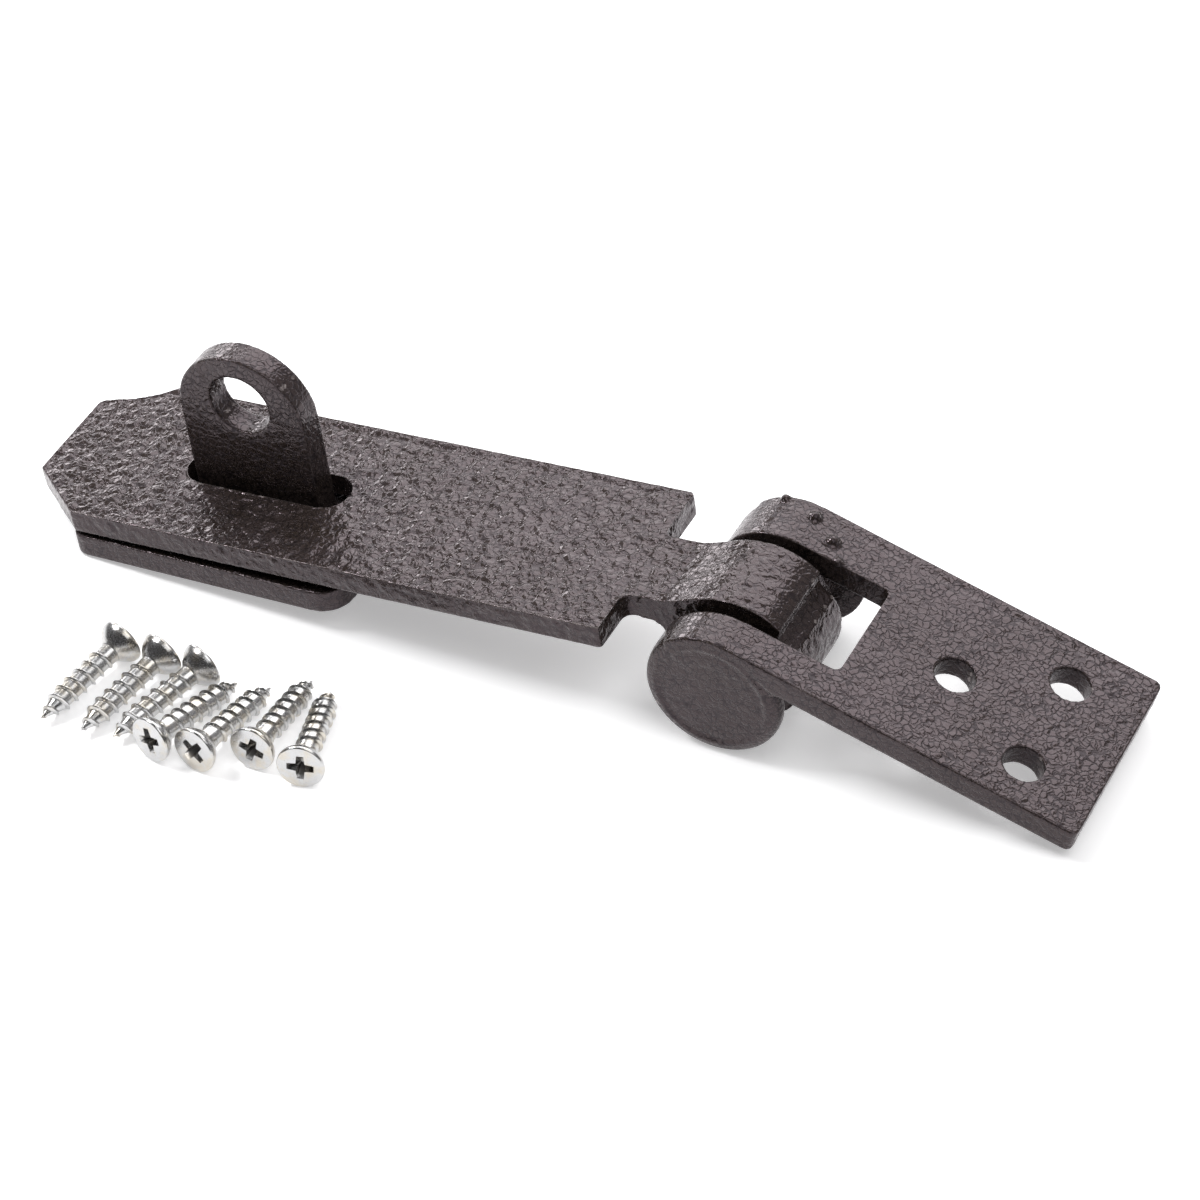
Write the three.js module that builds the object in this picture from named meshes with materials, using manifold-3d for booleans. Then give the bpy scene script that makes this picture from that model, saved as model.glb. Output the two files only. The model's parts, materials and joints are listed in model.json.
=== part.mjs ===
// Heavy hasp and staple, hinged open and standing on a flat floor, with its seven wood screws.
// Millimetres, +Z up, +X towards the hinge leaf, -Y towards the loose screws.
import * as THREE from 'three';
import Module from 'manifold-3d';
import { mergeVertices } from 'three/addons/utils/BufferGeometryUtils.js';

// ---- driving dimensions ------------------------------------------------------------------
const WIDTH = 38;             // flat bar width of strap, leaf and staple plate
const T = 4.7;                // flat bar thickness
const EDGE = 0.5;             // rounding of every bar edge
const GAP = 0.3;              // clearance between pieces that touch

const PIN_X = 19.5;           // hinge pin axis, from the strap's shoulders
const PIN_Z = -10.1;          // hinge pin axis, from the strap's top face
const KNUCKLE_R = 12.5;       // outside of the rolled ears
const BORE_R = KNUCKLE_R - T; // inside of the rolled ears
const WRAP_END = 310;         // where the ears stop rolling round the pin, in degrees
const CAP = 3.2;              // thickness of the full disc that closes each end of the pin
const TONGUE_W = 16.4;        // width of the strap's tongue
const TONGUE_Y = 17.8;        // middle of the tongue, which sits a little off the strap's centre line
// Outside of the tongue's roll: angle about the pin and radius.
const ROLL = [
  [88, 13.3], [64, 13.3], [42, 13.25], [38, 11.8], [28, 11.7], [20, 12.4], [5, 12.7], [-15, 12.7],
  [-50, 12.4], [-174, 12.4],
];

const CHAMFER_X = -105.9;     // where the nose starts to narrow
const NOSE_X = -118.5;        // front of the nose
const SLOT = { x: -75.45, length: 32.7, width: 8.7 };

const LEAF_END = 64.8;        // end of the leaf, from the pin axis
const LEAF_WIDTH = 39.2;      // the leaf's bar is a little wider than the strap's
const LEAF_LIFT = 1.7;        // degrees the stiff hinge holds the leaf's end clear of the floor
const CUTOUT_END = 17.4;      // end of the leaf's cutout, from the pin axis
const CUTOUT = [7.7, 28.7];   // sides of that cutout
const LEAF_HOLES = [[34.1, 0], [51.3, 10.3], [51.3, -10.3]];
const LEAF_HOLE_R = 3.55;

const PLATE = {
  length: 55.2, tightCorner: 2.6, wideCorner: 5.5,
  holeR: 2.4, holes: [[7, 7.5], [7, 30.5], [48.2, 7.5], [48.2, 30.5]],
};
const PLATE_CORNER = [-107.6, -9.96]; // lower front corner of the staple plate, in strap axes
const PLATE_TILT = 1.4;       // degrees between the staple plate and the strap
const LOOP = { x: 30.8, halfWidth: 12.7, thickness: 5.4, arcZ: 26.1, holeZ: 28.8, holeR: 5.9 };

const SCREW = { length: 21.2, headR: 4.25, headH: 3.3, threadR: 2.35, coreR: 1.8, pitch: 2.2, lean: 6.6 };
// Head position along X and Y from the staple plate's front corner, the way the point faces in
// degrees, and how far the screw is rolled about its own axis in radians.
const SCREWS = [
  [23.0, -19.8, -102, 0.2], [31.2, -19.7, -103, 0.55], [39.1, -19.3, -108.6, 0.9],
  [40.1, -39.6, 75.6, 1.25], [48.3, -38.8, 82, 0.66], [57.2, -34.6, 90.6, 0.25],
  [66.9, -35.0, 105.4, 0.05],
];

const PAINT = { color: 0x4a4346, roughness: 0.42, metalness: 0.55 };
const ZINC = { color: 0xc4c2bb, roughness: 0.28, metalness: 1.0 };

const RAD = Math.PI / 180;

// ---- solid helpers -----------------------------------------------------------------------
const wasm = await Module();
wasm.setup();

function solid(geometry) {
  const bare = new THREE.BufferGeometry();
  bare.setAttribute('position', geometry.getAttribute('position').clone());
  if (geometry.index) bare.setIndex(geometry.index.clone());
  const merged = mergeVertices(bare, 1e-4);
  return new wasm.Manifold(new wasm.Mesh({
    numProp: 3,
    vertProperties: new Float32Array(merged.getAttribute('position').array),
    triVerts: new Uint32Array(merged.index.array),
  }));
}

function meshOf(name, body, look) {
  const raw = body.getMesh();
  const geometry = new THREE.BufferGeometry();
  geometry.setAttribute('position', new THREE.BufferAttribute(new Float32Array(raw.vertProperties), 3));
  geometry.setIndex(new THREE.BufferAttribute(new Uint32Array(raw.triVerts), 1));
  geometry.computeVertexNormals();
  const mesh = new THREE.Mesh(geometry, new THREE.MeshStandardMaterial(look));
  mesh.name = name;
  return mesh;
}

// A flat bar cut to an outline, its top face at z = 0 and every edge eased.
function slab(shape, thickness, segments = 8) {
  const geometry = new THREE.ExtrudeGeometry(shape, {
    depth: thickness - 2 * EDGE, bevelEnabled: true, bevelSize: EDGE, bevelThickness: EDGE,
    bevelOffset: -EDGE, bevelSegments: 1, curveSegments: segments,
  });
  geometry.translate(0, 0, EDGE - thickness);
  return geometry;
}

// A side profile drawn in X and Z, made as wide as the piece and starting at y = from.
function across(shape, from, width, segments = 8) {
  const geometry = slab(shape, width, segments);
  geometry.rotateX(Math.PI / 2);
  geometry.translate(0, from, 0);
  return geometry;
}

function rod(radius, length, segments) {
  return new THREE.CylinderGeometry(radius, radius, length, segments);
}

// Outlines may be listed either way round; the extruder wants them anticlockwise.
function outline(points) {
  const corners = points.map(([x, y]) => new THREE.Vector2(x, y));
  if (THREE.ShapeUtils.isClockWise(corners)) corners.reverse();
  return new THREE.Shape(corners);
}

function roundHole(x, y, r) {
  const path = new THREE.Path();
  path.absarc(x, y, r, 0, 2 * Math.PI, true);
  return path;
}

function arcPoints(cx, cy, r, from, to, steps) {
  const points = [];
  for (let i = 0; i <= steps; i += 1) {
    const a = (from + (to - from) * i / steps) * RAD;
    points.push([cx + r * Math.cos(a), cy + r * Math.sin(a)]);
  }
  return points;
}

// ---- hasp strap --------------------------------------------------------------------------
function strapPlate() {
  const near = TONGUE_Y - TONGUE_W / 2;
  const far = TONGUE_Y + TONGUE_W / 2;
  const mid = WIDTH / 2;
  const shape = outline([
    [CHAMFER_X, 0],
    [0, 0],
    [0, near - 2.2],
    ...arcPoints(2.2, near - 2.2, 2.2, 180, 90, 4),
    [5, near],
    [5, far],
    ...arcPoints(1.3, far + 1.3, 1.3, 270, 180, 4),
    [0, WIDTH],
    [CHAMFER_X + 0.3, WIDTH],
    [CHAMFER_X - 3.4, WIDTH - 3.2],
    [CHAMFER_X - 7.2, WIDTH - 5.6],
    [NOSE_X + 1.2, WIDTH - 7.6],
    [NOSE_X, WIDTH - 8.6],
    [NOSE_X, 9.7],
  ]);
  const slot = new THREE.Path();
  const r = SLOT.width / 2;
  const reach = SLOT.length / 2 - r;
  slot.absarc(SLOT.x - reach, mid, r, 1.5 * Math.PI, 0.5 * Math.PI, true);
  slot.absarc(SLOT.x + reach, mid, r, 0.5 * Math.PI, -0.5 * Math.PI, true);
  slot.closePath();
  shape.holes.push(slot);
  return solid(slab(shape, T, 8));
}

// The tongue steps up off the strap, comes over the pin to a ridge and rolls right round it.
function strapTongue() {
  const top = PIN_Z + ROLL[0][1];
  const upper = [];
  for (let i = 0; i <= 6; i += 1) {
    const u = i / 6;
    upper.push([5.5 + (PIN_X - 6.5) * u, top * 0.985 * u * u * (3 - 2 * u)]);
  }
  const roll = [];
  for (let k = 1; k < ROLL.length; k += 1) {
    const [from, near] = ROLL[k - 1];
    const [to, next] = ROLL[k];
    const steps = Math.ceil((from - to) / 12);
    for (let i = k === 1 ? 0 : 1; i <= steps; i += 1) {
      const a = (from + (to - from) * i / steps) * RAD;
      const r = near + (next - near) * i / steps;
      roll.push([PIN_X + r * Math.cos(a), PIN_Z + r * Math.sin(a)]);
    }
  }
  const shape = outline([[1, 0], ...upper, ...roll, [6.8, -T - 1.6], [5.2, -T - 0.3], [1, -T]]);
  shape.holes.push(roundHole(PIN_X, PIN_Z, BORE_R));
  return solid(across(shape, TONGUE_Y - TONGUE_W / 2, TONGUE_W, 10));
}

function haspStrap() {
  return meshOf('hasp_strap', strapPlate().add(strapTongue()), PAINT);
}

// ---- hinge leaf, drawn flat with its back at z = 0 and the pin axis at x = 0 ------------------
function leafPlate() {
  const [low, high] = CUTOUT;
  const shape = outline([
    [7, 0],
    ...arcPoints(LEAF_END - 1.6, 1.6, 1.6, -90, 0, 3),
    ...arcPoints(LEAF_END - 1.6, LEAF_WIDTH - 1.6, 1.6, 0, 90, 3),
    [7, LEAF_WIDTH],
    [7, high],
    ...arcPoints(CUTOUT_END - 1.5, high - 1.5, 1.5, 90, 0, 3),
    ...arcPoints(CUTOUT_END - 1.5, low + 1.5, 1.5, 0, -90, 3),
    [7, low],
  ]);
  for (const [x, y] of LEAF_HOLES) shape.holes.push(roundHole(x, WIDTH / 2 + y, LEAF_HOLE_R));
  return solid(slab(shape, T, 6));
}

// An ear leaves the plate level with its back and rolls most of the way round the pin.
// A full disc closes its outer face.
function leafEar(from, to, capFrom) {
  const drop = -KNUCKLE_R;
  const steps = (WRAP_END - 90) / 10;
  const shape = outline([
    [12, 0],
    ...arcPoints(0, drop, KNUCKLE_R, 90, WRAP_END, steps),
    ...arcPoints(0, drop, BORE_R, WRAP_END, 90, steps),
    [12, -T],
  ]);
  const disc = outline(arcPoints(0, drop, KNUCKLE_R, 0, 350, 35));
  return solid(across(shape, from, to - from)).add(solid(across(disc, capFrom, CAP)));
}

function hingeLeaf() {
  const [low, high] = CUTOUT;
  const ears = leafEar(0, low, 0).add(leafEar(high, LEAF_WIDTH, LEAF_WIDTH - CAP));
  return meshOf('hinge_leaf', leafPlate().add(ears), PAINT);
}

function hingePin() {
  const length = LEAF_WIDTH - 2 * (CAP + GAP);
  const mesh = meshOf('hinge_pin', solid(rod(BORE_R - GAP, length, 28)), PAINT);
  mesh.position.set(0, LEAF_WIDTH / 2, -KNUCKLE_R);
  return mesh;
}

// ---- staple ------------------------------------------------------------------------------
function staplePlate() {
  const a = PLATE.tightCorner;
  const c = PLATE.wideCorner;
  const L = PLATE.length;
  const shape = outline([
    ...arcPoints(a, a, a, 180, 270, 4),
    ...arcPoints(L - c, c, c, 270, 360, 5),
    ...arcPoints(L - c, WIDTH - c, c, 0, 90, 5),
    ...arcPoints(a, WIDTH - a, a, 90, 180, 4),
  ]);
  for (const [x, y] of PLATE.holes) shape.holes.push(roundHole(x, y, PLATE.holeR));
  const body = slab(shape, T, 5);
  body.translate(0, 0, T);
  const seat = new THREE.BoxGeometry(2 * (LOOP.halfWidth + GAP), LOOP.thickness + 2 * GAP, 3 * T);
  seat.translate(LOOP.x, WIDTH / 2, 0);
  return meshOf('staple_plate', solid(body).subtract(solid(seat)), PAINT);
}

// The loop stands through the plate: straight sides, a half-round top and the padlock's hole.
function stapleLoop() {
  const w = LOOP.halfWidth;
  const shape = outline([
    [LOOP.x - w, 0],
    [LOOP.x + w, 0],
    ...arcPoints(LOOP.x, LOOP.arcZ, w, 0, 180, 16),
  ]);
  shape.holes.push(roundHole(LOOP.x, LOOP.holeZ, LOOP.holeR));
  const body = across(shape, WIDTH / 2 - LOOP.thickness / 2, LOOP.thickness, 8);
  return meshOf('staple_loop', solid(body), PAINT);
}

// ---- wood screws, drawn along +X from the head's face ---------------------------------------
function screwBody() {
  const s = SCREW;
  const profile = [
    [0, 0], [s.headR - 0.25, 0], [s.headR, 0.25], [s.headR, 0.75],
    [3.8, 1.5], [2.9, 2.5], [s.coreR + 0.3, s.headH],
  ];
  let x = s.headH + 0.9;
  while (x < s.length - 4.5) {
    profile.push([s.coreR, x], [s.threadR, x + s.pitch * 0.3], [s.coreR, x + s.pitch * 0.6]);
    x += s.pitch;
  }
  // The last ring is smaller and runs out into the point.
  profile.push([s.coreR * 0.92, x], [s.threadR * 0.8, x + s.pitch * 0.3]);
  profile.push([s.coreR * 0.72, x + s.pitch * 0.6], [0, s.length]);
  const points = profile.map(([r, y]) => new THREE.Vector2(r, y));
  const body = new THREE.LatheGeometry(points, 14);
  body.rotateZ(-Math.PI / 2);
  let result = solid(body);
  for (const [wide, tall] of [[4.4, 1.0], [1.0, 4.4]]) {
    const recess = new THREE.BoxGeometry(3.2, wide, tall);
    result = result.subtract(solid(recess));
  }
  return result;
}

// Each screw lies on its head's rim and the thread near its point.
function layScrew(index) {
  const [x, y, heading, roll] = SCREWS[index];
  const mesh = meshOf(`screw_${index + 1}`, screwBody(), ZINC);
  const euler = new THREE.Euler(roll, SCREW.lean * RAD, heading * RAD, 'ZYX');
  const position = mesh.geometry.getAttribute('position');
  let lowest = Infinity;
  for (let i = 0; i < position.count; i += 1) {
    lowest = Math.min(lowest, new THREE.Vector3().fromBufferAttribute(position, i).applyEuler(euler).z);
  }
  mesh.rotation.copy(euler);
  mesh.position.set(x, y, -lowest);
  return mesh;
}

// ---- assembly ------------------------------------------------------------------------------
function group(name, x, y, z, pitch) {
  const node = new THREE.Group();
  node.name = name;
  node.position.set(x, y, z);
  node.rotation.y = pitch;
  return node;
}

function assemble() {
  // The staple plate's front corner and the knuckle stand on the floor, which pitches the strap.
  const reachX = PIN_X - PLATE_CORNER[0];
  const reachZ = PIN_Z - PLATE_CORNER[1];
  const pitch = Math.asin(KNUCKLE_R / Math.hypot(reachX, reachZ)) - Math.atan2(reachZ, reachX);
  // The leaf hangs almost low enough for the lower corner of its end to meet the floor.
  const floored = Math.asin(KNUCKLE_R / Math.hypot(LEAF_END, BORE_R)) + Math.atan2(BORE_R, LEAF_END);
  const fall = floored - LEAF_LIFT * RAD;

  const strapFrame = group('strap_frame', 0, 0, 0, -pitch);
  const origin = new THREE.Vector3(-PLATE_CORNER[0], 0, -PLATE_CORNER[1]);
  strapFrame.position.copy(origin.applyAxisAngle(new THREE.Vector3(0, 1, 0), -pitch));
  strapFrame.add(haspStrap());

  const stapleFrame = group('staple_frame', PLATE_CORNER[0], 0, PLATE_CORNER[1], PLATE_TILT * RAD);
  stapleFrame.add(staplePlate(), stapleLoop());
  strapFrame.add(stapleFrame);

  const pinFrame = group('pin_frame', PIN_X, 0, PIN_Z, pitch + fall);
  const leafFrame = group('leaf_frame', 0, 0, KNUCKLE_R, 0);
  leafFrame.add(hingeLeaf(), hingePin());
  pinFrame.add(leafFrame);
  strapFrame.add(pinFrame);

  const whole = new THREE.Group();
  whole.name = 'hasp_and_staple';
  whole.add(strapFrame);
  for (let i = 0; i < SCREWS.length; i += 1) whole.add(layScrew(i));
  return whole;
}

// Stand the set on z = 0 with the middle of its footprint on the origin.
function centred(whole) {
  whole.updateMatrixWorld(true);
  const box = new THREE.Box3();
  const point = new THREE.Vector3();
  whole.traverse((node) => {
    if (!node.isMesh) return;
    const position = node.geometry.getAttribute('position');
    for (let i = 0; i < position.count; i += 1) {
      box.expandByPoint(point.fromBufferAttribute(position, i).applyMatrix4(node.matrixWorld));
    }
  });
  const middle = box.getCenter(new THREE.Vector3());
  whole.position.set(-middle.x, -middle.y, -box.min.z);
  return whole;
}

export default centred(assemble());
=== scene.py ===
# Hasp and staple: hammered dark enamel over forged steel, seven zinc screws, floor, lights and camera.
import json
import math

import bmesh
import bpy
import numpy as np
from mathutils import Matrix, Vector, noise
from mathutils.geometry import tessellate_polygon


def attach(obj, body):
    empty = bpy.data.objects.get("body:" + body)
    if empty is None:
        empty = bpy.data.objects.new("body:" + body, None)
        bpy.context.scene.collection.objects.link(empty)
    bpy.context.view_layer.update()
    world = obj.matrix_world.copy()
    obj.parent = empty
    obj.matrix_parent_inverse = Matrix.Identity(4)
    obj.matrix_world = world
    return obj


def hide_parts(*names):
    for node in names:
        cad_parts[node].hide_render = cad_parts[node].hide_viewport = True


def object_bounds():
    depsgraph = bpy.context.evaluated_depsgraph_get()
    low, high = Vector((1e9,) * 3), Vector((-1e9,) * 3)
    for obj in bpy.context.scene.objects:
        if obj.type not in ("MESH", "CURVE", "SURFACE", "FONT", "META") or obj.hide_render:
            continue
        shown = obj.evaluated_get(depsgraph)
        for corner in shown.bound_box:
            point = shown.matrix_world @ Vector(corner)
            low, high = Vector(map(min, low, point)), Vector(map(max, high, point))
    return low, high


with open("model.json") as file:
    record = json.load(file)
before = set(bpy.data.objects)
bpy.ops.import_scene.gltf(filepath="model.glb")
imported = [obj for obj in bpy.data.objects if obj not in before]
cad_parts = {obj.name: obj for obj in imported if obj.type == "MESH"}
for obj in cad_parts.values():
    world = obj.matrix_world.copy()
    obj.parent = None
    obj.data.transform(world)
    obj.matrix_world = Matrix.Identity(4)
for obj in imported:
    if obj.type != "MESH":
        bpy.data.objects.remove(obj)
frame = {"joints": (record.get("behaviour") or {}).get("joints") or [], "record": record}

CAD_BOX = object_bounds()
MM = 0.001
# The noise behind the paint's relief starts from the clock unless its seed is set.
noise.seed_set(1)

# ---- fineness of the skins: voxel in millimetres, and rounds of easing ------------------------
VOXEL = 0.3
ROUNDS = 9

# ---- dimensions of the CAD part, in millimetres and degrees -------------------------------------
# Flat bar, and how far a skin's outline stays inside the bar's edges.
WIDTH = 38.0
THICK = 4.7
INSET = 0.02

# Hinge: the pin's axis in the strap's axes, the knuckle round it, and the tongue's width and middle.
PIN_X, PIN_Z = 19.5, -10.1
KNUCKLE_R = 12.5
BORE_R = KNUCKLE_R - THICK
TONGUE_W, TONGUE_Y = 16.4, 17.8
# Outside of the tongue's roll as (angle, radius): full over the top, a step down at the ridge, a low swell.
ROLL = [(88, 13.3), (64, 13.3), (42, 13.25), (39, 11.6), (28, 11.6), (20, 12.4), (5, 12.7), (-15, 12.7),
        (-50, 12.4), (-174, 12.4)]
# Where the tongue's top starts to rise towards the roll.
RISE_START = 5.5

# Strap: where the nose narrows, where it ends and where its front starts on the near side, the slot, and
# the fillets beside the tongue.
CHAMFER_X, NOSE_X, NOSE_Y = -105.9, -118.5, 9.8
SLOT_X, SLOT_LENGTH, SLOT_WIDTH = -75.45, 32.7, 8.7
NEAR_FILLET, FAR_FILLET = 2.0, 1.1
# The far corner was nipped by a worn shear: steps back from CHAMFER_X, then steps behind NOSE_X, each
# with its depth in from the far edge.
NIPPED_SIDE = [(1.6, 2.0), (3.9, 3.9), (6.6, 5.5), (9.6, 6.6)]
NIPPED_FRONT = [(1.1, 7.4), (0.3, 8.1), (0.0, 9.1)]

# Leaf: the pin's axis is at x = 0, one KNUCKLE_R below the face. The end stops PAINT_ROOM short, to leave
# room for the paint's wave.
LEAF_END, LEAF_WIDTH, LEAF_CORNER, PAINT_ROOM = 64.8, 39.2, 1.6, 0.1
LEAF_START = 7
CUTOUT_END, CUTOUT, CUTOUT_NEAR_R, CUTOUT_FAR_R = 17.4, (7.7, 28.7), 1.2, 1.0
LEAF_HOLES = [(34.1, 0.0), (51.3, 10.3), (51.3, -10.3)]
LEAF_HOLE_R = 3.55
# Ears: where the wrap ends, how far it runs into the flat, the end disc, its soft rim and its tight crown.
WRAP_END, EAR_REACH = 310, 12
CAP, RIM = 3.2, 2.1
CROWN_END, CROWN_DEPTH = 150, 2.4
# Runs of weld left along the far ear as (x, y, radius), and their height as a share of the radius.
WELD_BEADS = [(-6.6, 38.3, 0.95), (-0.3, 36.0, 1.0), (4.6, 32.8, 1.15), (7.2, 29.2, 0.8)]
BEAD_HEIGHT = 0.95
# Pin: the gap to each end disc, and the play in the bore.
PIN_GAP, PIN_PLAY = 0.3, 0.35

# Staple: the plate with its tight and wide corners, the upright loop, and the weld round its foot.
PLATE_LENGTH, TIGHT_CORNER, WIDE_CORNER, PLATE_HOLE_R = 55.2, 2.6, 5.5, 2.4
PLATE_HOLES = [(7, 7.5), (7, 30.5), (48.2, 7.5), (48.2, 30.5)]
LOOP_X, LOOP_HALF, LOOP_THICK, LOOP_ARC_Z, LOOP_FOOT = 30.8, 12.7, 5.4, 26.1, 0.3
LOOP_HOLE_Z, LOOP_HOLE_R = 28.8, 5.9
WELD_REACH, WELD_BELOW, WELD_ABOVE = 0.9, 0.6, 0.35

# Screws: x and y of the head's face from the plate's corner, heading in degrees and roll in radians. A
# loose screw lies on its head's rim and its thread, so it leans.
SCREW_LENGTH, HEAD_R, HEAD_H, THREAD_R, CORE_R, PITCH, LEAN = 21.2, 4.19, 3.3, 2.35, 1.8, 2.2, 6.6
SCREWS = [(23.0, -19.8, -102, 0.2), (31.2, -19.7, -103, 0.55), (39.1, -19.3, -108.6, 0.9),
          (40.1, -39.6, 75.6, 1.25), (48.3, -38.8, 82, 0.66), (57.2, -34.6, 90.6, 0.25),
          (66.9, -35.0, 105.4, 0.05)]

# ---- where the CAD bodies are ---------------------------------------------------------------
Y_AXIS = Vector((0, 1, 0))
JOINTS = {j["name"]: j for j in frame["joints"]}
MOUNTS = {m["name"]: m for m in frame["record"]["mounts"]}
# The mounts' points in the axes of the leaf and the staple.
LEAF_BACK = (42, WIDTH / 2, 0)
STAPLE_BACK = (11, WIDTH / 2, 0)


def local_frame(z_axis, point, local):
    """Matrix from millimetres in a piece's own axes to the row frame; `local` is where `point` lies."""
    z = Vector(z_axis).normalized()
    x = Y_AXIS.cross(z)
    turn = Matrix((x, Y_AXIS, z)).transposed()
    place = turn.to_4x4()
    place.translation = Vector(point) - turn @ (Vector(local) * MM)
    return place @ Matrix.Scale(MM, 4)


STRAP = local_frame(JOINTS["hasp_off_staple"]["axis"], JOINTS["hasp_hinge"]["pos_m"],
                    (PIN_X, WIDTH / 2, PIN_Z))
LEAF = local_frame(MOUNTS["leaf_back"]["axis"], MOUNTS["leaf_back"]["pos_m"], LEAF_BACK)
STAPLE = local_frame(-Vector(MOUNTS["staple_back"]["axis"]), MOUNTS["staple_back"]["pos_m"], STAPLE_BACK)


# ---- outlines and closed shells --------------------------------------------------------------
def arc(cx, cy, r, start, end, steps):
    return [(cx + r * math.cos(math.radians(start + (end - start) * i / steps)),
             cy + r * math.sin(math.radians(start + (end - start) * i / steps))) for i in range(steps + 1)]


def circle(cx, cy, r, steps=64):
    return arc(cx, cy, r, 0, 360 - 360 / steps, steps - 1)


def band_faces(rings, steps):
    """Four-sided faces between each ring of `steps` points and the next."""
    faces = []
    for k in range(rings - 1):
        for i in range(steps):
            j = (i + 1) % steps
            faces.append((k * steps + i, k * steps + j, (k + 1) * steps + j, (k + 1) * steps + i))
    return faces


class Solids:
    """Closed shells collected in one list of faces, in millimetres."""

    def __init__(self):
        self.verts = []
        self.faces = []

    def add(self, verts, faces):
        base = len(self.verts)
        self.verts += [tuple(v) for v in verts]
        self.faces += [tuple(base + i for i in f) for f in faces]

    def prism(self, loops, low, high, axis="Z"):
        """Outline with holes, drawn in X and Y (or X and Z for axis Y), from low to high along the axis."""
        flat = [p for loop in loops for p in loop]
        count = len(flat)
        tris = tessellate_polygon([[Vector((x, y, 0)) for x, y in loop] for loop in loops])
        verts = []
        for level in (low, high):
            verts += [(x, y, level) if axis == "Z" else (x, level, y) for x, y in flat]
        faces = [tuple(t) for t in tris] + [tuple(i + count for i in reversed(t)) for t in tris]
        start = 0
        for loop in loops:
            n = len(loop)
            for i in range(n):
                a, b = start + i, start + (i + 1) % n
                faces.append((a, b, b + count, a + count))
            start += n
        self.add(verts, faces)

    def lathe(self, profile, centre, steps=96):
        """Profile of (radius, y), from radius 0 back to 0, turned about a Y axis through centre (x, z)."""
        cx, cz = centre
        verts = []
        for r, y in profile:
            for i in range(steps):
                a = 2 * math.pi * i / steps
                verts.append((cx + r * math.cos(a), y, cz + r * math.sin(a)))
        self.add(verts, band_faces(len(profile), steps))

    def bead(self, x, y, z, r):
        """Ball of weld, a little flattened."""
        rings, steps = 8, 14
        verts = []
        for k in range(rings + 1):
            t = math.pi * k / rings
            for i in range(steps):
                a = 2 * math.pi * i / steps
                verts.append((x + r * math.sin(t) * math.cos(a), y + r * math.sin(t) * math.sin(a),
                              z + BEAD_HEIGHT * r * math.cos(t)))
        self.add(verts, band_faces(rings + 1, steps))


# ---- objects ------------------------------------------------------------------------------------
def linked(name, data):
    obj = bpy.data.objects.new(name, data)
    bpy.context.scene.collection.objects.link(obj)
    return obj


def mesh_from(bm, name):
    mesh = bpy.data.meshes.new(name)
    bm.to_mesh(mesh)
    bm.free()
    return mesh


def evaluated(obj):
    """The object with its modifiers applied."""
    graph = bpy.context.evaluated_depsgraph_get()
    mesh = bpy.data.meshes.new_from_object(obj.evaluated_get(graph))
    old = obj.data
    obj.modifiers.clear()
    obj.data = mesh
    bpy.data.meshes.remove(old)
    return obj


def vertex_array(elements, attribute, count):
    values = np.empty(count * 3)
    elements.foreach_get(attribute, values)
    return values.reshape(-1, 3)


def cast(name, solids, place, relief):
    """One skin over all the solids, with eased edges, given its relief and moved to its place."""
    mesh = bpy.data.meshes.new(name)
    mesh.from_pydata(solids.verts, [], solids.faces)
    mesh.validate()
    obj = linked(name, mesh)
    remesh = obj.modifiers.new("skin", "REMESH")
    remesh.mode = "VOXEL"
    remesh.voxel_size = VOXEL
    ease = obj.modifiers.new("ease", "SMOOTH")
    ease.factor = 0.5
    ease.iterations = ROUNDS
    evaluated(obj)
    data = obj.data
    count = len(data.vertices)
    places = vertex_array(data.vertices, "co", count)
    normals = vertex_array(data.vertex_normals, "vector", count)
    # The paint pulls thin over the edges, where no axis of the normal is near 1, so the lumps fade there.
    calm = np.clip((np.abs(normals).max(axis=1) - 0.82) / 0.16, 0.22, 1.0)
    shift = np.array([relief(Vector(p)) for p in places]) * calm
    places = places + normals * shift[:, None]
    data.vertices.foreach_set("co", places.ravel())
    data.transform(place)
    data.polygons.foreach_set("use_smooth", [True] * len(data.polygons))
    data.update()
    return obj


def dress(obj, body, slot, material, *nodes):
    obj.data.materials.clear()
    obj.data.materials.append(material)
    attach(obj, body)
    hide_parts(*nodes)
    return obj


# ---- relief of the paint ---------------------------------------------------------------------------
def hammered(lump, wave, seed, extra=None, pitch=0.62):
    """Relief of thick hammer enamel in millimetres: smooth lumps a millimetre or two across over a slow
    wave. They only sink into the skin, and `extra` adds the piece's own marks."""
    offset = Vector([seed * step for step in (17.3, 5.1, 9.7)])
    top = 0.55 * lump + 0.5 * wave
    drift_pitch, drift = 0.45, 0.9
    fine_share, wave_pitch = 0.2, 0.11

    def height(p):
        q = p + offset
        q = q + noise.noise_vector(q * drift_pitch) * drift
        lumps = noise.noise(q * pitch) + fine_share * noise.noise(q * pitch * 2)
        value = lump * lumps + wave * noise.noise(q * wave_pitch)
        value = min(0.0, value - top)
        return value + extra(p) if extra else value
    return height


def hump(distance, spread):
    """Bell shape: 1 at distance 0, fading over `spread`."""
    return math.exp(-(distance / spread) ** 2)


def strap_lip(p):
    """The strap's far edge carries a low lip with a shallow gutter inside it."""
    if p.x > 0 or p.z < -1:
        return 0.0
    return -0.07 * hump(p.y - 35.7, 0.6) - 0.05 * (1 - hump(p.y - 37.0, 0.55))


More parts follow.
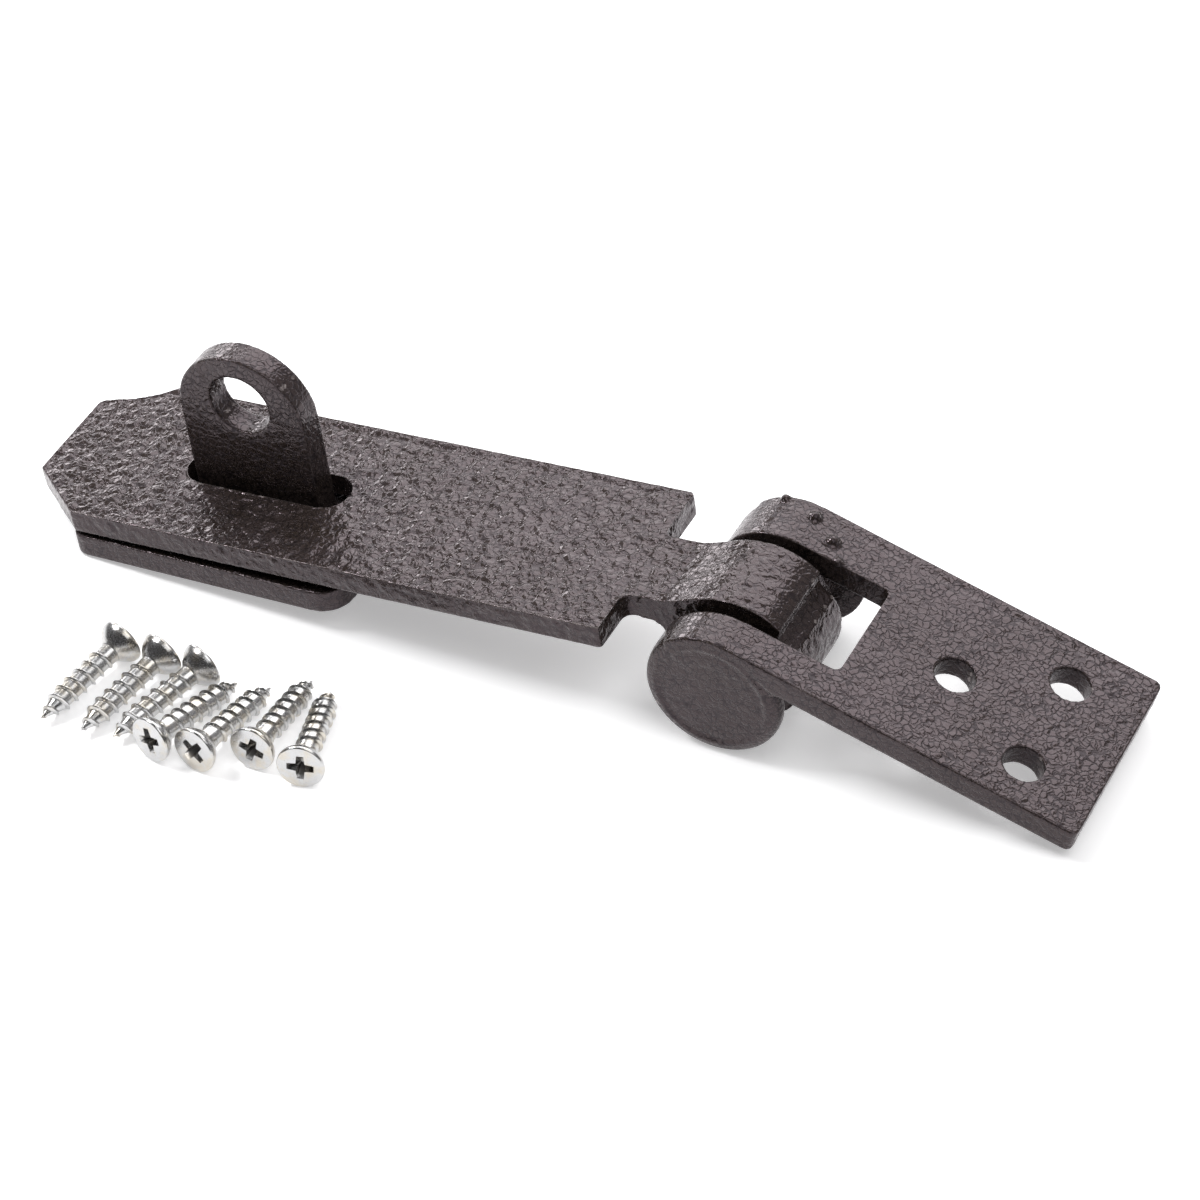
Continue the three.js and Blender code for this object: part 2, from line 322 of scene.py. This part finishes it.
def leaf_marks(p):
    """Gutter along the far edge, the seam where the rolled bar meets its end disc, and the disc's ring."""
    shift = 0.0
    if p.x > 2 and p.z > -1:
        shift -= 0.06 * hump(p.y - 36.9, 0.6)
    if p.y < 1.2 and p.z < -1.0:
        seam_x, seam_z, run_x, run_z = 3.9, -2.4, 5.1, -2.5
        along = ((p.x - seam_x) * run_x + (p.z - seam_z) * run_z) / (run_x ** 2 + run_z ** 2)
        along = max(0.0, min(1.0, along))
        gap = math.hypot(p.x - seam_x - run_x * along, p.z - seam_z - run_z * along)
        shift -= 0.28 * (0.4 + 0.6 * along) * hump(gap, 0.42)
        radius = math.hypot(p.x, p.z + KNUCKLE_R)
        shift += 0.11 * hump(radius - 10.3, 0.4) - 0.10 * hump(radius - 9.3, 0.6)
    return shift


# ---- materials -----------------------------------------------------------------------------------
def rgb(r, g, b):
    return (r, g, b, 1.0)


class Nodes:
    """A new material and short ways to add its nodes."""

    def __init__(self, name):
        self.material = bpy.data.materials.new(name)
        self.material.use_nodes = True
        self.tree = self.material.node_tree
        self.tree.nodes.clear()

    def node(self, kind, inputs=None, **settings):
        made = self.tree.nodes.new(kind)
        for key, value in settings.items():
            setattr(made, key, value)
        for key, value in (inputs or {}).items():
            self.feed(made, key, value)
        return made

    def feed(self, node, key, value):
        socket = node.inputs[key]
        if isinstance(value, bpy.types.NodeSocket):
            self.tree.links.new(value, socket)
        else:
            socket.default_value = value

    def math(self, operation, a, b):
        return self.node("ShaderNodeMath", {0: a, 1: b}, operation=operation).outputs[0]

    def vector(self, operation, inputs):
        return self.node("ShaderNodeVectorMath", inputs, operation=operation).outputs[0]

    def step(self, value, low, high, out_low=0.0, out_high=1.0):
        """Smooth step of the value from low to high, into out_low to out_high."""
        limits = {"Value": value, "From Min": low, "From Max": high, "To Min": out_low, "To Max": out_high}
        return self.node("ShaderNodeMapRange", limits, interpolation_type="SMOOTHSTEP").outputs[0]

    def blend(self, factor, a, b):
        # A colour mix has its factor at input 0, its colours at 6 and 7, and its result at output 2.
        return self.node("ShaderNodeMix", {0: factor, 6: a, 7: b}, data_type="RGBA").outputs[2]

    def millimetres(self):
        coords = self.node("ShaderNodeTexCoord")
        return self.vector("SCALE", {0: coords.outputs["Object"], "Scale": 1 / MM})

    def noise(self, vector, scale, detail=2.0, roughness=0.5, output=0):
        made = self.node("ShaderNodeTexNoise", {"Vector": vector, "Scale": scale, "Detail": detail,
                                                "Roughness": roughness})
        return made.outputs[output]

    def edges(self):
        """About 0.5 on a flat face, more on an outer edge and less in a hollow."""
        return self.node("ShaderNodeNewGeometry").outputs["Pointiness"]

    def bump(self, height):
        """Normal for a height in millimetres."""
        return self.node("ShaderNodeBump", {"Height": height, "Distance": MM, "Strength": 1.0}).outputs[0]

    def finish(self, shader):
        self.node("ShaderNodeOutputMaterial", {"Surface": shader.outputs[0]})
        return self.material


def enamel(name, cracks, lumps=1.0, gloss=0.075):
    """Glossy dark enamel: soft orange peel, a fine net of cell lines where the pigment parted, and grain."""
    n = Nodes(name)
    p = n.millimetres()
    grain = n.noise(p, scale=4.5, roughness=0.6)

    # The net of cells, pushed about so that it isn't regular, and fainter in places.
    away = n.vector("SUBTRACT", {0: n.noise(p, scale=0.6, detail=1.0, output="Color"), 1: (0.5, 0.5, 0.5)})
    q = n.vector("ADD", {0: p, 1: n.vector("SCALE", {0: away, "Scale": 1.8})})
    cells = n.node("ShaderNodeTexVoronoi", {"Vector": q, "Scale": 0.85, "Randomness": 0.9},
                   feature="DISTANCE_TO_EDGE")
    line = n.step(cells.outputs[0], 0.02, 0.17)
    fade = n.step(n.noise(p, scale=0.3, detail=1.0), 0.36, 0.58, 0.5, 1.0)
    seam = n.math("MULTIPLY", n.math("MULTIPLY", n.math("SUBTRACT", 1.0, line), fade), cracks)

    body = n.blend(n.step(grain, 0.3, 0.72), rgb(0.014, 0.010, 0.008), rgb(0.044, 0.033, 0.028))
    cloud = n.step(n.noise(p, scale=0.07), 0.35, 0.65, 0.0, 0.35)
    body = n.blend(cloud, body, rgb(0.056, 0.043, 0.044))
    colour = n.blend(n.math("MULTIPLY", seam, 0.9), body, rgb(0.002, 0.0015, 0.0015))

    # Painted highlight: the eased edges are painted paler, in broken stretches, for the light that the rims
    # catch.
    edge = n.step(n.edges(), 0.53, 0.60)
    broken = n.step(n.noise(p, scale=0.9, roughness=0.6), 0.40, 0.56, 0.25, 1.0)
    painted_highlight = n.math("MULTIPLY", n.math("MULTIPLY", edge, broken), 0.7)
    colour = n.blend(painted_highlight, colour, rgb(0.34, 0.30, 0.29))

    height = n.math("MULTIPLY", n.noise(q, scale=1.15, detail=0.0), 0.125 * lumps)
    height = n.math("ADD", height, n.math("MULTIPLY", line, 0.03 * cracks))
    height = n.math("ADD", height, n.math("MULTIPLY", grain, 0.003))
    normal = n.bump(height)
    rough = n.math("ADD", n.step(grain, 0.25, 0.75, gloss - 0.03, gloss + 0.05),
                   n.math("MULTIPLY", seam, 0.3))
    shader = n.node("ShaderNodeBsdfPrincipled", {
        "Base Color": colour, "Roughness": rough, "Metallic": 0.08, "IOR": 1.47,
        "Specular Tint": rgb(1.0, 0.80, 0.90), "Coat Weight": 0.1, "Coat Roughness": 0.06,
        "Normal": normal, "Coat Normal": normal})
    return n.finish(shader)


def zinc(name):
    """Bright zinc plate, a little yellow in patches, with fine scratches, and painted shade in the hollows.
    """
    n = Nodes(name)
    p = n.millimetres()
    patches = n.noise(p, scale=0.35, detail=3.0, roughness=0.6)
    grain = n.noise(p, scale=7.0, detail=3.0, roughness=0.65)
    scratch = n.noise(n.vector("MULTIPLY", {0: p, 1: (1.0, 12.0, 1.0)}), scale=1.6)
    hollow = n.step(n.edges(), 0.44, 0.50, 1.0, 0.0)

    colour = n.blend(n.step(patches, 0.42, 0.66), rgb(0.56, 0.56, 0.56), rgb(0.57, 0.53, 0.46))
    colour = n.blend(n.step(grain, 0.35, 0.7, 0.0, 0.3), colour, rgb(0.50, 0.50, 0.52))
    # Painted shade: hollows such as the cross recess and the thread's roots are painted near-black.
    colour = n.blend(n.math("MULTIPLY", hollow, 0.85), colour, rgb(0.06, 0.055, 0.05))
    rough = n.math("ADD", n.step(grain, 0.3, 0.75, 0.18, 0.31), n.math("MULTIPLY", hollow, 0.2))
    height = n.math("ADD", n.math("MULTIPLY", grain, 0.012), n.math("MULTIPLY", scratch, 0.008))
    shader = n.node("ShaderNodeBsdfPrincipled", {
        "Base Color": colour, "Roughness": rough, "Metallic": 1.0, "Normal": n.bump(height)})
    return n.finish(shader)


def pale_floor():
    """Near-white floor that glows a little, so that it fades into the background."""
    n = Nodes("pale_floor")
    tone = n.noise(n.millimetres(), scale=0.006, detail=3.0)
    colour = n.blend(n.step(tone, 0.3, 0.7), rgb(0.93, 0.93, 0.935), rgb(0.90, 0.90, 0.905))
    shader = n.node("ShaderNodeBsdfPrincipled", {
        "Base Color": colour, "Roughness": 0.75, "Emission Color": colour, "Emission Strength": 0.42})
    return n.finish(shader)


# ---- hasp strap --------------------------------------------------------------------------------
def strap_solids():
    """Flat bar with a narrowed nose and a slot, and the tongue that rolls round the pin."""
    solids = Solids()
    mid = WIDTH / 2
    near, far = TONGUE_Y - TONGUE_W / 2, TONGUE_Y + TONGUE_W / 2
    outline = [(CHAMFER_X, INSET), (-0.5, INSET), (0, 0.5), (0, near - NEAR_FILLET)]
    outline += arc(NEAR_FILLET, near - NEAR_FILLET, NEAR_FILLET, 180, 90, 10)
    outline += [(5, near), (5, far)]
    outline += arc(FAR_FILLET, far + FAR_FILLET, FAR_FILLET, 270, 180, 8)
    outline += [(0, WIDTH - 0.6), (-0.6, WIDTH - INSET), (CHAMFER_X + 0.4, WIDTH - INSET)]
    outline += [(CHAMFER_X - back, WIDTH - depth) for back, depth in NIPPED_SIDE]
    outline += [(NOSE_X + behind, WIDTH - depth) for behind, depth in NIPPED_FRONT]
    outline += [(NOSE_X, NOSE_Y)]
    r = SLOT_WIDTH / 2
    reach = SLOT_LENGTH / 2 - r
    slot = arc(SLOT_X + reach, mid, r, -90, 90, 24) + arc(SLOT_X - reach, mid, r, 90, 270, 24)
    solids.prism([outline, slot], -THICK, 0)
    solids.prism([tongue_profile(), circle(PIN_X, PIN_Z, BORE_R)], near, far, "Y")
    return solids


def roll_radius(angle):
    """Outside radius of the tongue's roll, on straight lines between the points of ROLL."""
    for (a, ra), (b, rb) in zip(ROLL, ROLL[1:]):
        if b <= angle <= a:
            return ra + (rb - ra) * (a - angle) / (a - b)
    return ROLL[-1][1]


def tongue_profile():
    """Outline in X and Z: a smooth rise from the bar to the roll, round the pin, and back under the bar."""
    height = 0.985 * (PIN_Z + ROLL[0][1])
    points = [(1, 0)]
    for i in range(25):
        u = i / 24
        points.append((RISE_START + (PIN_X - 1.0 - RISE_START) * u, height * u * u * (3 - 2 * u)))
    for angle in range(ROLL[0][0], ROLL[-1][0], -2):
        r = roll_radius(angle) - 0.05
        a = math.radians(angle)
        points.append((PIN_X + r * math.cos(a), PIN_Z + r * math.sin(a)))
    points += [(6.8, -THICK - 1.6), (5.2, -THICK - 0.3), (1, -THICK)]
    return points


# ---- hinge leaf ---------------------------------------------------------------------------------
def leaf_solids():
    """Flat bar with a cutout and three screw holes, an ear rolled on each side, and runs of weld."""
    solids = Solids()
    low, high = CUTOUT
    turn = LEAF_END - PAINT_ROOM - LEAF_CORNER
    outline = [(LEAF_START, INSET)] + arc(turn, LEAF_CORNER, LEAF_CORNER, -90, 0, 8)
    outline += arc(turn, LEAF_WIDTH - LEAF_CORNER, LEAF_CORNER, 0, 90, 8)
    outline += [(LEAF_START, LEAF_WIDTH - INSET), (LEAF_START, high)]
    outline += arc(CUTOUT_END - CUTOUT_FAR_R, high - CUTOUT_FAR_R, CUTOUT_FAR_R, 90, 0, 8)
    outline += arc(CUTOUT_END - CUTOUT_NEAR_R, low + CUTOUT_NEAR_R, CUTOUT_NEAR_R, 0, -90, 8)
    outline += [(LEAF_START, low)]
    holes = [circle(x, WIDTH / 2 + y, LEAF_HOLE_R) for x, y in LEAF_HOLES]
    solids.prism([outline] + holes, -THICK, 0)
    for face, inner in ((INSET, low), (LEAF_WIDTH - INSET, high)):
        ear(solids, face, inner)
    for x, y, r in WELD_BEADS:
        z = -KNUCKLE_R + math.sqrt(KNUCKLE_R ** 2 - x * x) if x < 0 else 0
        solids.bead(x, y, z, r)
    return solids


def ear(solids, face, inner):
    """Rolled ear: the bar goes most of the way round the pin, and a soft-rimmed disc closes the face."""
    way = 1 if inner > face else -1
    drop = -KNUCKLE_R
    wrap = arc(0, drop, KNUCKLE_R, 90, WRAP_END, 64) + arc(0, drop, BORE_R, WRAP_END, 90, 64)
    solids.prism([[(EAR_REACH, 0)] + wrap + [(EAR_REACH, -THICK)]],
                 *sorted((face + way * RIM, inner)), "Y")
    # The outer edge stays tight over the top and softens below.
    crown = arc(0, drop, KNUCKLE_R, 90, CROWN_END, 24) + arc(0, drop, BORE_R - 1.0, CROWN_END, 90, 24)
    solids.prism([[(EAR_REACH, 0)] + crown + [(EAR_REACH, -THICK)]],
                 *sorted((face, face + way * CROWN_DEPTH)), "Y")
    soft = [(KNUCKLE_R - RIM + RIM * math.sin(t), face + way * (RIM - RIM * math.cos(t)))
            for t in np.linspace(0, math.pi / 2, 9)]
    solids.lathe([(0, face + way * 0.12), (KNUCKLE_R - 3.2, face + way * 0.1)] + soft
                 + [(KNUCKLE_R, face + way * CAP), (0, face + way * CAP)], (0, drop))


def pin_solids():
    """Pin between the two end discs, a little slack in the bore."""
    solids = Solids()
    r = BORE_R - PIN_PLAY
    near, far = CAP + PIN_GAP, LEAF_WIDTH - CAP - PIN_GAP
    solids.lathe([(0, near), (r, near), (r, far), (0, far)], (0, -KNUCKLE_R))
    return solids


# ---- staple ---------------------------------------------------------------------------------------
def plate_solids():
    """Round-cornered plate with four screw holes."""
    solids = Solids()
    tight, wide, long = TIGHT_CORNER, WIDE_CORNER, PLATE_LENGTH
    outline = arc(tight, tight, tight, 180, 270, 12) + arc(long - wide, wide, wide, 270, 360, 12)
    outline += arc(long - wide, WIDTH - wide, wide, 0, 90, 12) + arc(tight, WIDTH - tight, tight, 90, 180, 12)
    holes = [circle(x, y, PLATE_HOLE_R, 40) for x, y in PLATE_HOLES]
    solids.prism([outline] + holes, INSET, THICK)
    return solids


def loop_solids():
    """Upright D-shaped plate with the padlock hole, and the weld round its foot."""
    solids = Solids()
    near, far = WIDTH / 2 - LOOP_THICK / 2, WIDTH / 2 + LOOP_THICK / 2
    outline = [(LOOP_X - LOOP_HALF, LOOP_FOOT), (LOOP_X + LOOP_HALF, LOOP_FOOT)]
    outline += arc(LOOP_X, LOOP_ARC_Z, LOOP_HALF, 0, 180, 64)
    solids.prism([outline, circle(LOOP_X, LOOP_HOLE_Z, LOOP_HOLE_R)], near, far, "Y")
    left, right = LOOP_X - LOOP_HALF - WELD_REACH, LOOP_X + LOOP_HALF + WELD_REACH
    front, back = near - WELD_REACH, far + WELD_REACH
    solids.prism([[(left, front), (right, front), (right, back), (left, back)]],
                 THICK - WELD_BELOW, THICK + WELD_ABOVE)
    return solids


# ---- screws -----------------------------------------------------------------------------------------
def bridge(bm, rings):
    """Four-sided faces between each closed ring of vertices and the next."""
    for near, far in zip(rings, rings[1:]):
        for i in range(len(near)):
            j = (i + 1) % len(near)
            bm.faces.new((near[i], near[j], far[j], far[i]))


def head_profile():
    """(x, radius) over the flat face, the soft rim and the hollow flare of the countersunk head."""
    profile = [(0.0, 0.0), (0.0, HEAD_R * 0.55), (0.0, HEAD_R - 0.25), (0.06, HEAD_R - 0.1), (0.25, HEAD_R),
               (0.55, HEAD_R), (0.72, HEAD_R - 0.08)]
    flare_start = 0.75
    for k in range(1, 11):
        u = k / 10
        profile.append((flare_start + (HEAD_H - flare_start) * u,
                        CORE_R + 0.25 + (HEAD_R - CORE_R - 0.3) * (1 - u ** 1.35) ** 0.9))
    return profile


def thread_radius(x, angle):
    """Radius below the head: a neck, a ridge that climbs one PITCH a turn, and a point that tapers off."""
    neck_swell, neck_length, point_length = 0.12, 2.5, 4.6
    thread_start, thread_growth, thread_end = 0.8, 1.6, 2.2
    ridge_half = 0.17
    left = SCREW_LENGTH - x
    core = CORE_R + neck_swell * max(0, 1 - (x - HEAD_H) / neck_length)
    if left < point_length:
        core *= (left / point_length) ** 0.85
    phase = (x / PITCH - angle / (2 * math.pi)) % 1.0
    ridge = max(0.0, 1 - abs(phase - 0.5) / ridge_half) ** 0.85
    tall = (THREAD_R - CORE_R) * min(1.0, max(0.0, (x - HEAD_H - thread_start) / thread_growth))
    tall *= min(1.0, max(0.0, left / thread_end)) ** 0.7
    return max(core + tall * ridge, 0.0)


def screw_mesh():
    """Countersunk wood screw along +X: one surface carries the head, the neck, the helix and the point."""
    around, along = 56, 260
    angles = [2 * math.pi * i / around for i in range(around)]
    bm = bmesh.new()
    rings = [[(x, r, a) for a in angles] for x, r in head_profile()]
    rings += [[(x, thread_radius(x, a), a) for a in angles]
              for x in np.linspace(HEAD_H + 0.12, SCREW_LENGTH, along)]
    bridge(bm, [[bm.verts.new((x, r * math.cos(a), r * math.sin(a))) for x, r, a in ring] for ring in rings])
    bmesh.ops.remove_doubles(bm, verts=bm.verts, dist=1e-4)
    bmesh.ops.recalc_face_normals(bm, faces=bm.faces)
    return mesh_from(bm, "screw")


def cross_cutter():
    """Tapered cross recess, deepest in the middle."""
    wing, arm, web = 0.62, 2.35, 0.16
    # Each level has its depth, and its shares of the arm's length and the wing's width.
    levels = [(-0.4, 1.08, 1.08), (0.0, 1.0, 1.0), (0.9, 0.80, 0.9), (1.6, 0.52, 0.75), (2.2, 0.22, 0.4)]
    bm = bmesh.new()
    rings = []
    for x, reach, thick in levels:
        a, w = arm * reach, wing * thick
        c = w + web * reach
        quarter = [(a, -w), (a, w), (c, c)]
        shape = []
        for _ in range(4):
            shape += quarter
            quarter = [(-z, y) for y, z in quarter]
        rings.append([bm.verts.new((x, y, z)) for y, z in shape])
    bridge(bm, rings)
    bm.faces.new(rings[0])
    bm.faces.new(list(reversed(rings[-1])))
    bmesh.ops.recalc_face_normals(bm, faces=bm.faces)
    return linked("cutter", mesh_from(bm, "cutter"))


def screws(material):
    first = linked("screw_pattern", screw_mesh())
    cutter = cross_cutter()
    cut = first.modifiers.new("recess", "BOOLEAN")
    cut.object = cutter
    cut.operation = "DIFFERENCE"
    cut.solver = "EXACT"
    evaluated(first)
    bpy.data.objects.remove(cutter)
    corner = STAPLE.translation
    for index, (x, y, heading, roll) in enumerate(SCREWS):
        name = f"screw_{index + 1}"
        mesh = first.data.copy()
        mesh.name = f"wood_{name}"
        turn = (Matrix.Rotation(math.radians(heading), 4, "Z") @ Matrix.Rotation(math.radians(LEAN), 4, "Y")
                @ Matrix.Rotation(roll, 4, "X"))
        mesh.transform(turn)
        low = min(v.co.z for v in mesh.vertices)
        mesh.transform(Matrix.Translation((x, y, -low)))
        mesh.transform(Matrix.Scale(MM, 4))
        mesh.transform(Matrix.Translation((corner.x, corner.y, 0)))
        obj = linked(f"wood_{name}", mesh)
        mesh.polygons.foreach_set("use_smooth", [True] * len(mesh.polygons))
        mesh.set_sharp_from_angle(angle=math.radians(50))
        dress(obj, name, "zinc", material, name)
    bpy.data.objects.remove(first)


# ---- build ------------------------------------------------------------------------------------------
strap = cast("strap_forging", strap_solids(), STRAP, hammered(0.19, 0.10, seed=1, extra=strap_lip))
dress(strap, "hasp", "hammered_paint", enamel("enamel_strap", cracks=0.8), "hasp_strap")

leaf = cast("leaf_forging", leaf_solids(), LEAF, hammered(0.07, 0.05, seed=2, extra=leaf_marks, pitch=0.8))
dress(leaf, "leaf", "hammered_paint", enamel("enamel_leaf", cracks=1.0, lumps=0.6, gloss=0.11), "hinge_leaf")

pin = cast("pin_bar", pin_solids(), LEAF, hammered(0.03, 0.03, seed=3))
dress(pin, "leaf", "hammered_paint", enamel("enamel_pin", cracks=0.8, lumps=0.6), "hinge_pin")

plate = cast("staple_base", plate_solids(), STAPLE, hammered(0.07, 0.08, seed=4))
dress(plate, "staple", "hammered_paint", enamel("enamel_plate", cracks=1.0, lumps=0.55), "staple_plate")

loop = cast("staple_eye", loop_solids(), STAPLE, hammered(0.06, 0.05, seed=5))
dress(loop, "staple", "hammered_paint", enamel("enamel_loop", cracks=1.0, lumps=0.7, gloss=0.12),
      "staple_loop")

screws(zinc("zinc_plate"))


# ---- floor, lights, camera -----------------------------------------------------------------------------
# In metres and degrees, apart from the lens.
FLOOR_HALF, FLOOR_GAP = 3.0, 0.0001
SENSOR_MM, LENS_MM = 36.0, 126.1
CAMERA_PLACE = (0.26756, -0.44867, 0.49603)
CAMERA_AZIMUTH, CAMERA_DOWN, CAMERA_ROLL = 29.161, 42.319, -3.898


def make_floor():
    """Floor a hair below the object."""
    bm = bmesh.new()
    bmesh.ops.create_grid(bm, x_segments=8, y_segments=8, size=FLOOR_HALF)
    obj = linked("floor", mesh_from(bm, "floor"))
    obj.location.z = CAD_BOX[0][2] - FLOOR_GAP
    obj.data.materials.append(pale_floor())


def softbox(name, azimuth, elevation, distance, size, power):
    """Rectangular light turned to the origin, `azimuth` degrees round from +X and `elevation` degrees up."""
    light = bpy.data.lights.new(name, "AREA")
    light.shape = "RECTANGLE"
    light.size, light.size_y = size
    light.energy = power
    a, e = math.radians(azimuth), math.radians(elevation)
    way = Vector((math.cos(a) * math.cos(e), math.sin(a) * math.cos(e), math.sin(e))).normalized()
    obj = linked(name, light)
    obj.location = way * distance
    obj.rotation_euler = way.to_track_quat("Z", "Y").to_euler()


def make_world():
    """A dim room, darker towards the front and lighter behind."""
    world = bpy.data.worlds.new("studio")
    world.use_nodes = True
    tree = world.node_tree
    shade = tree.nodes["Background"]
    coords = tree.nodes.new("ShaderNodeTexCoord")
    split = tree.nodes.new("ShaderNodeSeparateXYZ")
    ramp = tree.nodes.new("ShaderNodeMapRange")
    ramp.interpolation_type = "SMOOTHSTEP"
    for key, value in (("From Min", -0.5), ("From Max", 0.6), ("To Min", 0.07), ("To Max", 0.36)):
        ramp.inputs[key].default_value = value
    tree.links.new(coords.outputs["Generated"], split.inputs[0])
    tree.links.new(split.outputs["Y"], ramp.inputs["Value"])
    tree.links.new(ramp.outputs[0], shade.inputs["Strength"])
    shade.inputs["Color"].default_value = rgb(1.0, 0.98, 0.99)
    bpy.context.scene.world = world


def make_camera():
    """Long lens in front of the object and to its right, looking down on it, rolled a little."""
    data = bpy.data.cameras.new("camera")
    data.sensor_width = SENSOR_MM
    data.lens = LENS_MM
    data.clip_start = 0.05
    data.clip_end = 20
    place = (Matrix.Rotation(math.radians(CAMERA_AZIMUTH), 4, "Z")
             @ Matrix.Rotation(math.radians(90 - CAMERA_DOWN), 4, "X")
             @ Matrix.Rotation(math.radians(CAMERA_ROLL), 4, "Z"))
    place.translation = Vector(CAMERA_PLACE)
    obj = linked("camera", data)
    obj.matrix_world = place
    bpy.context.scene.camera = obj


make_floor()
softbox("window", azimuth=100, elevation=40, distance=1.2, size=(1.15, 0.87), power=10)
softbox("low_left", azimuth=141, elevation=15, distance=0.9, size=(0.28, 0.22), power=1.1)
softbox("top_strip", azimuth=187, elevation=51, distance=1.0, size=(0.36, 0.16), power=6)
softbox("fill", azimuth=-20, elevation=62, distance=1.3, size=(0.9, 0.9), power=6)
make_world()
make_camera()
bpy.context.scene.view_settings.view_transform = "Standard"
